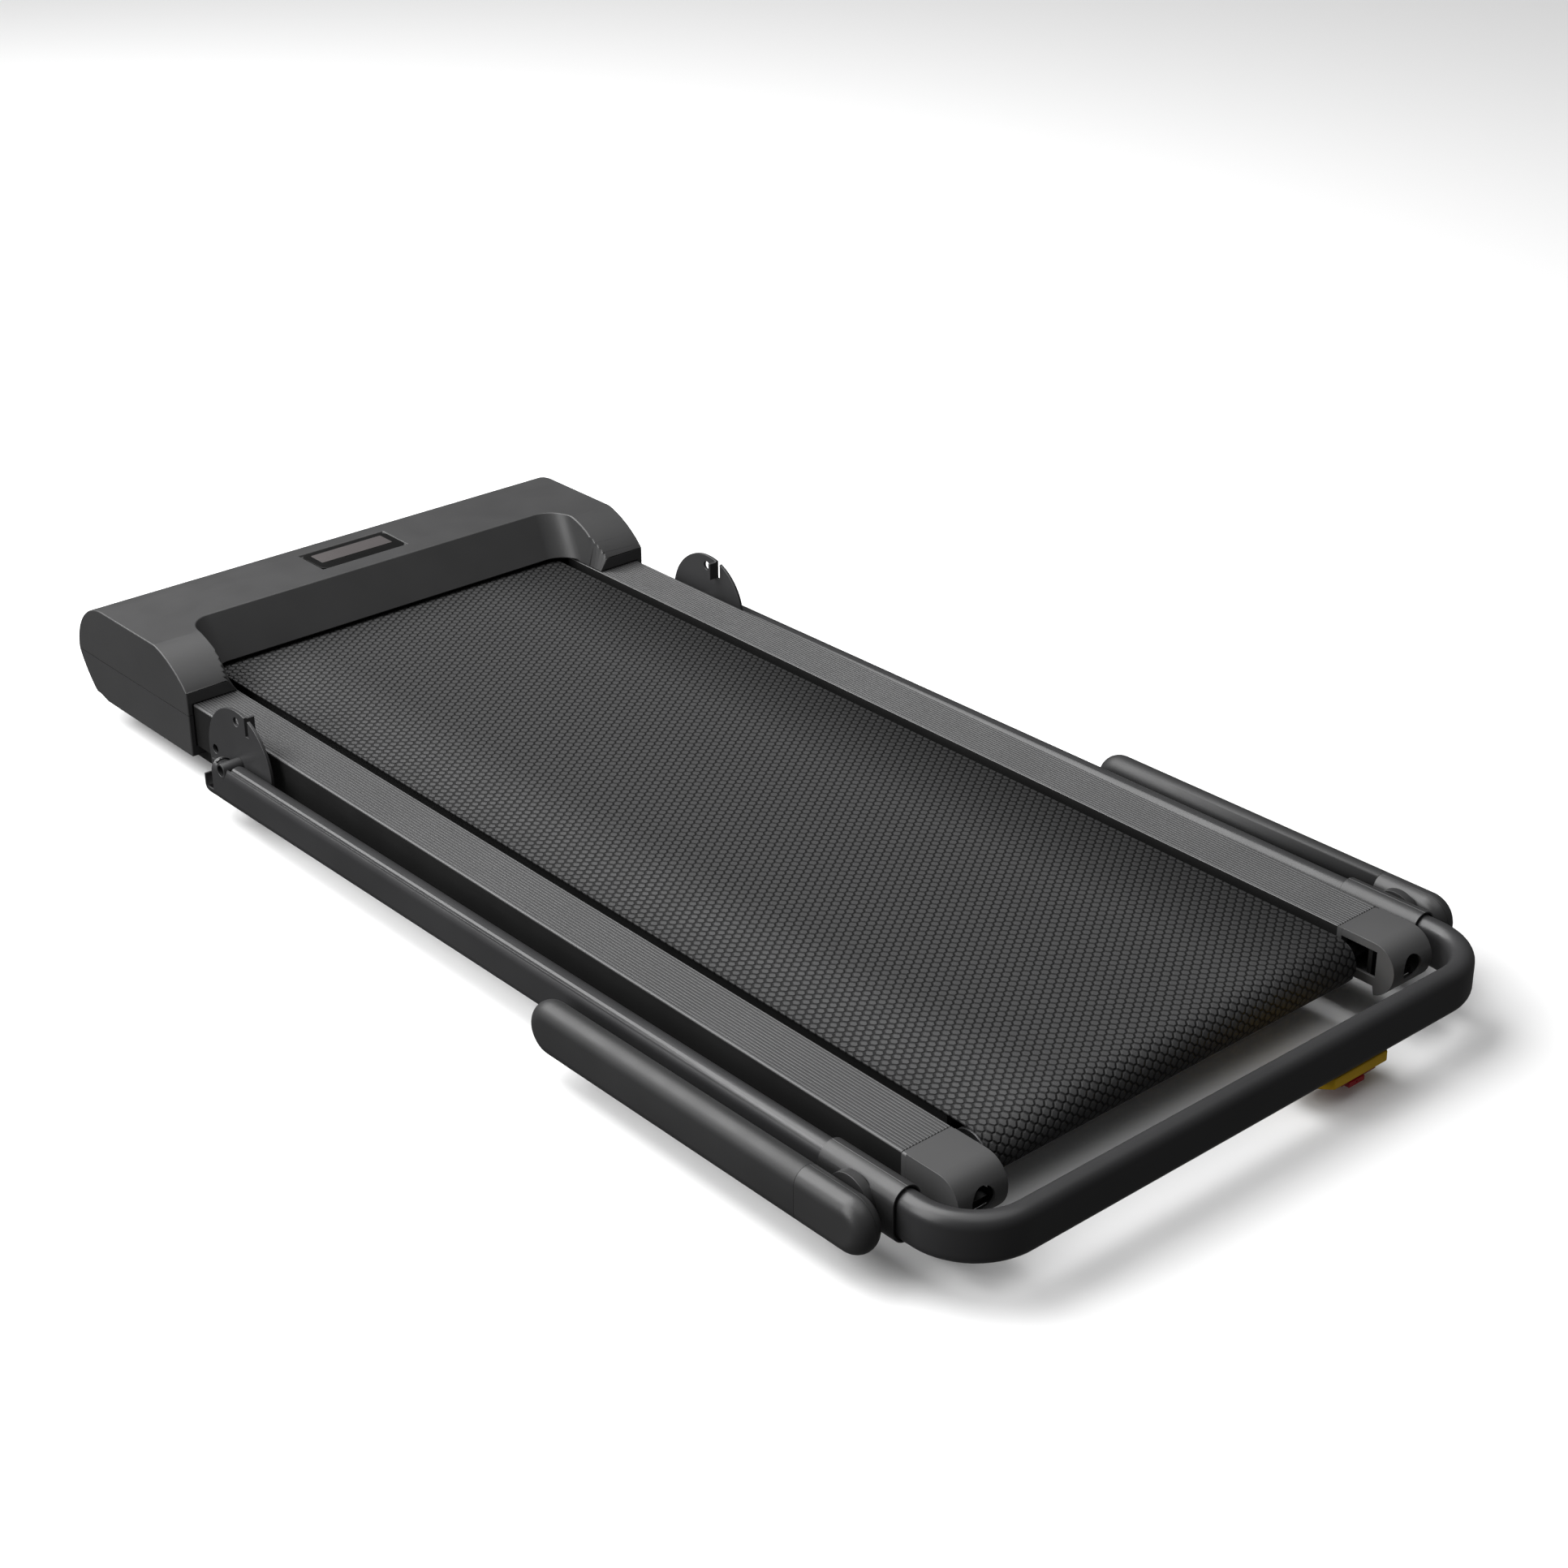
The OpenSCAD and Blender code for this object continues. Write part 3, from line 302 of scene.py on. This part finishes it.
def beltFinish(look):
    # staggered six-sided plateaus on the belt's own map, which is in metres, with painted shade in the
    # grooves and painted light on the plateaus
    material, shader = newFinish("beltRubber")
    beltMap = addNode(material, "ShaderNodeUVMap", uv_map="beltMap").outputs["UV"]
    flat = addNode(material, "ShaderNodeSeparateXYZ", {0: beltMap})
    across, along = look["across"], look["along"]

    def fromMiddle(value, shift, pitch):
        moved = calc(material, "ADD", value, shift)
        return calc(material, "ABSOLUTE", calc(material, "WRAP", moved, pitch / 2, -pitch / 2))

    def cell(shiftX, shiftY):
        # how far a point lies inside the nearest cell's outline
        x = fromMiddle(flat.outputs[0], shiftX, across)
        y = fromMiddle(flat.outputs[1], shiftY, along)
        closing = calc(material, "ADD", calc(material, "MULTIPLY", x, look["slant"][0]),
                       calc(material, "MULTIPLY", y, look["slant"][1]))
        slant = calc(material, "SUBTRACT", look["reach"], closing)
        return calc(material, "MINIMUM", slant, calc(material, "SUBTRACT", along / 2, y))

    inside = calc(material, "MAXIMUM", cell(0, 0), cell(across / 2, along / 2))
    plateau = mapRange(material, inside, 0, look["groove"], 0, 1, "SMOOTHSTEP")
    # painted shade and painted light: the rubber's one colour darkened in the grooves and lightened on the
    # plateaus
    tone = mixOf(material, plateau, times(look["colour"], look["grooveShade"]), times(look["colour"], look["light"]))
    link(material, tone, shader.inputs["Base Color"])
    shader.inputs["Specular IOR Level"].default_value = look["gloss"]
    grain = noiseOn(material, objectSpace(material), look["grainScale"], 2)
    height = calc(material, "ADD", plateau, calc(material, "MULTIPLY", grain, look["grainShare"]))
    bump = addNode(material, "ShaderNodeBump",
                   {"Height": height, "Strength": look["bump"], "Distance": look["height"]})
    link(material, bump.outputs["Normal"], shader.inputs["Normal"])
    smudge = noiseOn(material, objectSpace(material), look["smudgeScale"])
    rough = spread(material, smudge, look["rough"] - look["roughLess"], look["rough"] + look["roughMore"])
    link(material, rough, shader.inputs["Roughness"])
    return material


finish["beltRubber"] = beltFinish(beltLook)
print("finishes made:", len(finish))


# ---- making pieces ----

# angles in degrees; a piece with softened edges keeps only its steeper corners sharp
pieceLook = {"smoothBelow": 35, "sharpBesideBevel": 80, "bevelSegments": 2}


def asObject(name, bm):
    bmesh.ops.recalc_face_normals(bm, faces=bm.faces)
    mesh = bpy.data.meshes.new(name)
    bm.to_mesh(mesh)
    bm.free()
    return show(name, mesh)


def newPiece(name, bm, material, body, replaces=(), smoothBelow=pieceLook["smoothBelow"], edge=0):
    # turns a bmesh into a piece that rides on a body and shows one finish
    piece = asObject(name, bm)
    dress(piece, material, smoothBelow, edge)
    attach(piece, body)
    if replaces:
        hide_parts(*replaces)
    return piece


def dress(piece, material, smoothBelow, edge, chosen=False):
    # softens all corners over smoothBelow, or only the chosen ones
    piece.data.materials.clear()
    piece.data.materials.append(finish[material])
    for face in piece.data.polygons:
        face.use_smooth = True
        face.material_index = 0
    if edge:
        bevel = piece.modifiers.new("edges", "BEVEL")
        bevel.width = edge
        bevel.segments = pieceLook["bevelSegments"]
        bevel.limit_method = "WEIGHT" if chosen else "ANGLE"
        bevel.angle_limit = radians(smoothBelow)
        bevel.use_clamp_overlap = not chosen
        weighted = piece.modifiers.new("evenNormals", "WEIGHTED_NORMAL")
        weighted.keep_sharp = True
    piece.data.set_sharp_from_angle(angle=radians(pieceLook["sharpBesideBevel"] if edge else smoothBelow))


def carve(target, tool, operation="DIFFERENCE"):
    # cuts with another shape, or keeps what lies in it, and removes that shape
    knife = target.modifiers.new("carve", "BOOLEAN")
    knife.operation = operation
    knife.object = tool
    knife.solver = "EXACT"
    bpy.context.view_layer.update()
    shaped = target.evaluated_get(bpy.context.evaluated_depsgraph_get())
    result = bpy.data.meshes.new_from_object(shaped)
    target.modifiers.clear()
    target.data = result
    bpy.data.objects.remove(tool)


def blockMesh(low, high):
    bm = bmesh.new()
    bmesh.ops.create_cube(bm, size=1)
    bmesh.ops.scale(bm, vec=Vector(high) - Vector(low), verts=bm.verts)
    bmesh.ops.translate(bm, vec=(Vector(low) + Vector(high)) / 2, verts=bm.verts)
    return bm


def block(low, high):
    return asObject("tool", blockMesh(low, high))


def extruded(bm, face):
    grown = bmesh.ops.extrude_face_region(bm, geom=[face])
    return [v for v in grown["geom"] if isinstance(v, bmesh.types.BMVert)]


def sideProfile(points, x0, x1):
    # a prism along X from a few corner points in Y and Z
    bm = bmesh.new()
    face = bm.faces.new([bm.verts.new((x0, y, z)) for y, z in points])
    bmesh.ops.translate(bm, vec=(x1 - x0, 0, 0), verts=extruded(bm, face))
    return bm


def longEdgeAt(bm, y, z):
    # the edge along X that passes through y, z
    return [e for e in bm.edges if all(abs(v.co.y - y) < 1e-5 and abs(v.co.z - z) < 1e-5 for v in e.verts)]


def uprightEdges(bm, least=1e-5):
    return [e for e in bm.edges if abs(e.verts[0].co.z - e.verts[1].co.z) > least]


def roundEdges(bm, edges, width, segments):
    bmesh.ops.bevel(bm, geom=edges, offset=width, segments=segments, profile=0.5, affect="EDGES", material=-1)


def insetCorners(points, depth):
    # the same outline, moved inwards by depth, with its points running clockwise
    result = []
    for i, here in enumerate(points):
        a, b, c = Vector(points[i - 1]), Vector(here), Vector(points[(i + 1) % len(points)])
        n1 = Vector(((b - a).y, -(b - a).x)).normalized()
        n2 = Vector(((c - b).y, -(c - b).x)).normalized()
        half = (n1 + n2).normalized()
        result.append(tuple(b + half * (depth / max(0.2, half.dot(n1)))))
    return result


# ---- CAD nodes that keep their own shape ----

plainNodes = {
    "railAluminium": ["side_rail_left", "side_rail_right"],
    "blackSteel": ["frame_tube_left", "frame_tube_right", "frame_cross_bars", "chassis_plates", "deck_beams",
                   "tension_brackets", "motor_bracket", "wheel_brackets", "pivot_bosses", "lock_bosses",
                   "tension_bolt_left", "tension_bolt_right", "pivot_bolts"],
    "softRubber": ["deck_cushions", "drive_belt", "wheel_left", "wheel_right", "rubber_feet"],
    "deckBoard": ["running_deck"],
    "bareSteel": ["front_axle", "rear_axle", "roller_bearings", "front_roller", "rear_roller", "motor_shaft",
                  "motor_pulley", "wheel_axles", "arm_pins"],
    "castAluminium": ["motor_case", "roller_pulley"],
    "circuitGreen": ["display_board", "motor_controller"],
    "blackPlastic": ["power_inlet", "switch_frame"],
    "keyRed": ["power_rocker"],
    "capPlastic": ["rail_end_plates"],
}
for material, names in plainNodes.items():
    for name in names:
        cad[name].data.materials.clear()
        cad[name].data.materials.append(finish[material])


def cadCopy(node, name, material, body, edge):
    # a merged copy of a CAD node's mesh with softened edges, which stands for it
    bm = bmesh.new()
    bm.from_mesh(cad[node].data)
    bmesh.ops.remove_doubles(bm, verts=bm.verts, dist=2e-6)
    bmesh.ops.dissolve_limit(bm, angle_limit=radians(0.3), verts=bm.verts, edges=bm.edges)
    return newPiece(name, bm, material, body, (node,), edge=edge)


for side in ("left", "right"):
    cadCopy("rear_cap_" + side, "rearCap" + side.title(), "capPlastic", "base", 0.0008)
    cadCopy("hinge_plate_" + side, "hingePlate" + side.title(), "platePaint", "handrail",
            0.0004)
    cadCopy("handrail_tube_" + side, "sideTube" + side.title(), "tubePaint", "handrail", 0)
    cadCopy("arm_grip_" + side, "armGrip" + side.title(), "gripFoam", "arm_" + side, 0)
    cadCopy("arm_hub_" + side, "armHub" + side.title(), "hubPlastic", "arm_" + side, 0.0005)
cadCopy("handrail_crossbar", "crossbar", "tubePaint", "handrail", 0)
cadCopy("pivot_sleeves", "pivotSleeves", "tubePaint", "handrail", 0.0003)
cadCopy("arm_clamps_inner", "clampsInner", "hubPlastic", "handrail", 0.0004)
cadCopy("arm_clamps_outer", "clampsOuter", "hubPlastic", "handrail", 0.0004)
cadCopy("key_holder", "keyHolder", "keyYellow", "handrail", 0.001)
cadCopy("safety_key", "safetyKey", "keyRed", "key_body", 0.0008)
print("frame pieces made")


# ---- display ----

displayLook = {"corner": 0.009, "cornerSegments": 8, "rim": 0.0006, "rimSegments": 3, "smoothBelow": 40,
               "windowSide": 0.008, "windowFar": 0.0075, "windowNear": 0.0145, "windowCorner": 0.0015,
               "windowRim": 0.0002, "windowLift": 0.0003, "windowSink": 0.0006}


def roundedPlate(look, low, high, corner, rim):
    # a flat plate with round corners and a small rim round its top
    bm = blockMesh(low, high)
    roundEdges(bm, uprightEdges(bm), corner, look["cornerSegments"])
    top = [e for e in bm.edges if all(abs(v.co.z - high[2]) < 1e-6 for v in e.verts)]
    roundEdges(bm, top, rim, look["rimSegments"])
    return bm


def makeDisplay(look):
    low, high = [Vector(corner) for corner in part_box("display_lens")]
    plate = roundedPlate(look, low, high, look["corner"], look["rim"])
    newPiece("displayFrame", plate, "displayGloss", "base", ("display_lens",),
             look["smoothBelow"])
    windowLow = (low.x + look["windowSide"], low.y + look["windowNear"], high.z - look["windowSink"])
    windowHigh = (high.x - look["windowSide"], high.y - look["windowFar"], high.z + look["windowLift"])
    window = roundedPlate(look, windowLow, windowHigh, look["windowCorner"], look["windowRim"])
    newPiece("displayWindow", window, "displayWindow", "base", (), look["smoothBelow"])


makeDisplay(displayLook)
print("display made")


# ---- motor hood ----

# lengths in metres; pairs are along and down from the top, or along and up from the bottom
hoodLook = {
    "wall": 0.003, "shoulder": (0.0209, 0.0056), "shoulderLength": 0.0535, "rearRise": 0.0314,
    "noseRadius": 0.054, "noseSlack": 0.0001, "noseFoot": (0.0081, 0.0762),
    "underside": ((0.026, 0.004), (0.033, 0.0035), (0.047, 0)),
    # radius of a rounding, and how much of the wall comes off it on the inside
    "shoulderRound": (0.033, 0.377), "footRound": (0.0235, 0.262),
    "recessDepth": 0.055, "recessLean": 0.026, "recessHeight": 0.044, "recessRadius": 0.025,
    "recessReach": 0.09, "recessRows": (-0.006, 0, 0.004, 0.008, 0.013, 0.019, 0.027, 0.055),
    "frontFrom": 0.05, "armLean": 0.09, "armFlare": 0.645, "flareLength": 0.010,
    "panelLift": 0.0025, "panelLap": 0.004, "edge": 0.0010, "softenOver": 30,
    "seam": 0.0009, "seamSlack": 0.0002,
    # room round the other parts, and how far a cutting block runs past the hood
    "railGap": 0.0006, "railSideGap": 0.001, "railEndGap": 0.002, "tubeSlot": (0.2245, 0.2515),
    "lensGap": 0.0004, "lensSink": 0.0005, "wheelGap": 0.002, "wheelWell": 0.005, "portGap": 0.0002,
    "portDepth": 0.012, "past": 0.01,
}


def hoodOutline(look):
    low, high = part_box("hood_lower")[0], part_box("hood_upper")[1]
    back, nose, bottom, top = low[1], high[1], low[2], high[2]
    points = [(back, bottom), (back, top - look["rearRise"]),
              (back + look["shoulder"][0], top - look["shoulder"][1]),
              (back + look["shoulderLength"], top), (nose, top), (nose, top - look["noseRadius"]),
              (nose - look["noseFoot"][0], top - look["noseFoot"][1])]
    return points + [(nose - along, bottom + up) for along, up in look["underside"]]


def hoodBody(look, depth, segments):
    # the hood's whole volume, depth inside its outer faces
    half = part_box("hood_upper")[1][0] - depth
    points = hoodOutline(look)
    if depth:
        points = insetCorners(points, depth)
    bm = sideProfile(points, -half, half)
    noseRound = (look["noseRadius"] - look["noseSlack"], 1)
    for index, (width, share) in ((2, look["shoulderRound"]), (4, noseRound), (6, look["footRound"])):
        roundEdges(bm, longEdgeAt(bm, *points[index]), width - share * depth, segments)
    return asObject("hoodBody", bm)


def recessTool(look, grown):
    # the space between the arms, from the rail tops up
    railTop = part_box("side_rail_left")[1][2]
    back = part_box("hood_upper")[0][1]
    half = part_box("side_rail_right")[0][0]
    rows = look["recessRows"]

    def corner(distance, height):
        slope = 0
        if height > 0:
            slope = look["armLean"] + look["armFlare"] * exp(-max(0, distance) / look["flareLength"])
        y = back + distance
        if distance > look["frontFrom"]:
            y += grown + look["recessLean"] * max(0, height) / look["recessHeight"]
        return half + grown + slope * height, y, railTop + height

    bm = bmesh.new()
    low = [bm.verts.new(corner(d, 0)) for d in rows]
    ring = low + [bm.verts.new((-v.co.x, v.co.y, v.co.z)) for v in reversed(low)]
    for v in extruded(bm, bm.faces.new(ring)):
        side = 1 if v.co.x > 0 else -1
        d = min(rows, key=lambda r: abs(corner(r, 0)[1] - v.co.y))
        x, y, z = corner(d, look["recessReach"])
        v.co = (side * x, y, z)
    fronts = [e for e in uprightEdges(bm, 0.001) if min(v.co.y for v in e.verts) > back + look["frontFrom"]]
    roundEdges(bm, fronts, look["recessRadius"] + grown, 12)
    return asObject("recess", bm)


def cutForRails(hood, look):
    # room for the rails and the frame tubes, and all that lies between the arms under the panel's lip
    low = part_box("hood_lower")[0]
    railLow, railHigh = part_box("side_rail_right")
    railTop = railHigh[2]
    start, under = low[1] - look["past"], low[2] - look["past"]
    lip = low[1] + look["recessDepth"] + look["panelLap"]
    carve(hood, block((-railLow[0], start, under), (railLow[0], lip, railTop + look["panelLift"])))
    railEnd = railHigh[1] + look["railEndGap"]
    for side in (-1, 1):
        x0, x1 = sorted((side * (railLow[0] - look["railSideGap"]), side * (railHigh[0] + look["railGap"])))
        carve(hood, block((x0, start, railLow[2] - look["railGap"]),
                          (x1, railEnd, railTop + look["railGap"])))
        x0, x1 = sorted(side * x for x in look["tubeSlot"])
        carve(hood, block((x0, start, under), (x1, railEnd, railLow[2])))


def cutForLens(hood, look):
    low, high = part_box("display_lens")
    gap = look["lensGap"]
    carve(hood, block((low[0] - gap, low[1] - gap, low[2] - look["lensSink"]),
                      (high[0] + gap, high[1] + gap, high[2] + look["past"])))


def cutForWheelsAndPorts(lowerHood, look):
    low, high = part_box("hood_lower")[0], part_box("hood_upper")[1]
    gap = look["wheelGap"]
    for name in ("wheel_left", "wheel_right"):
        wheelLow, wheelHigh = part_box(name)
        carve(lowerHood, block((wheelLow[0] - gap, wheelLow[1] - gap, low[2] - look["past"]),
                               (wheelHigh[0] + gap, wheelHigh[1] + gap, low[2] + look["wheelWell"])))
    gap = look["portGap"]
    for name in ("power_inlet", "switch_frame"):
        portLow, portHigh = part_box(name)
        carve(lowerHood, block((portLow[0] - gap, portHigh[1] - look["portDepth"], portLow[2] - gap),
                               (portHigh[0] + gap, high[1] + look["past"], portHigh[2] + gap)))


def finishShell(piece, name, node, split, look):
    piece.name = name
    bm = bmesh.new()
    bm.from_mesh(piece.data)
    bmesh.ops.remove_doubles(bm, verts=bm.verts, dist=1e-5)
    bmesh.ops.dissolve_limit(bm, angle_limit=radians(0.2), verts=bm.verts, edges=bm.edges)
    # soften every corner except those along the seam between the shells
    weight = bm.edges.layers.float.new("bevel_weight_edge")
    seam = look["seam"] + look["seamSlack"]
    for e in bm.edges:
        onSeam = all(abs(v.co.z - split) < seam for v in e.verts)
        if len(e.link_faces) == 2 and not onSeam and e.calc_face_angle(0) > radians(look["softenOver"]):
            e[weight] = 1
    bm.to_mesh(piece.data)
    bm.free()
    dress(piece, "hoodPlastic", look["softenOver"], look["edge"], chosen=True)
    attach(piece, "base")
    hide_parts(node)


def makeHood(look):
    low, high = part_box("hood_lower")[0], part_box("hood_upper")[1]
    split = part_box("hood_upper")[0][2]
    hood = hoodBody(look, 0, 24)
    inside = hoodBody(look, look["wall"], 10)
    carve(inside, recessTool(look, look["wall"]))
    carve(hood, inside)
    carve(hood, recessTool(look, 0))
    cutForRails(hood, look)
    cutForLens(hood, look)
    lowerHood = hood.copy()
    lowerHood.data = hood.data.copy()
    bpy.context.scene.collection.objects.link(lowerHood)
    far, near, past = high[0] + look["past"], low[1] - 2 * look["past"], look["past"]
    carve(hood, block((-far, near, split), (far, high[1] + past, high[2] + past)), "INTERSECT")
    carve(lowerHood, block((-far, near, low[2] - past), (far, high[1] + past, split - look["seam"])),
          "INTERSECT")
    cutForWheelsAndPorts(lowerHood, look)
    finishShell(hood, "upperHood", "hood_upper", split, look)
    finishShell(lowerHood, "lowerHood", "hood_lower", split, look)


makeHood(hoodLook)
print("hood made")


# ---- walking belt ----

beltShape = {"thick": 0.0018, "rows": 260, "columns": 4, "smoothBelow": 50}


def makeBelt(look):
    low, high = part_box("running_belt")
    radius = (high[2] - low[2]) / 2
    y0, y1 = low[1] + radius, high[1] - radius
    middle = (low[2] + high[2]) / 2
    straight, turn = y1 - y0, pi * radius
    length = 2 * straight + 2 * turn

    def roundTheRollers(s):
        # where a point lies that is s along the belt from the top's rear end
        if s < straight:
            return y0 + s, middle + radius
        if s < straight + turn:
            a = (s - straight) / radius
            return y1 + radius * sin(a), middle + radius * cos(a)
        if s < 2 * straight + turn:
            return y1 - (s - straight - turn), middle - radius
        a = (s - 2 * straight - turn) / radius
        return y0 - radius * sin(a), middle - radius * cos(a)

    bm = bmesh.new()
    bmesh.ops.create_grid(bm, x_segments=look["columns"], y_segments=look["rows"], size=0.5)
    uv = bm.loops.layers.uv.new("beltMap")
    for v in bm.verts:
        v.co.x *= high[0] - low[0]
        v.co.y = (v.co.y + 0.5) * length
    for face in bm.faces:
        for loop in face.loops:
            loop[uv].uv = (loop.vert.co.x + 0.5, loop.vert.co.y)
    for v in bm.verts:
        v.co.y, v.co.z = roundTheRollers(v.co.y)
    bmesh.ops.remove_doubles(bm, verts=bm.verts, dist=1e-6)
    piece = newPiece("walkingBelt", bm, "beltRubber", "base", ("running_belt",),
                     look["smoothBelow"])
    wall = piece.modifiers.new("thickness", "SOLIDIFY")
    wall.thickness = look["thick"]
    wall.offset = -1


makeBelt(beltShape)
print("belt made")
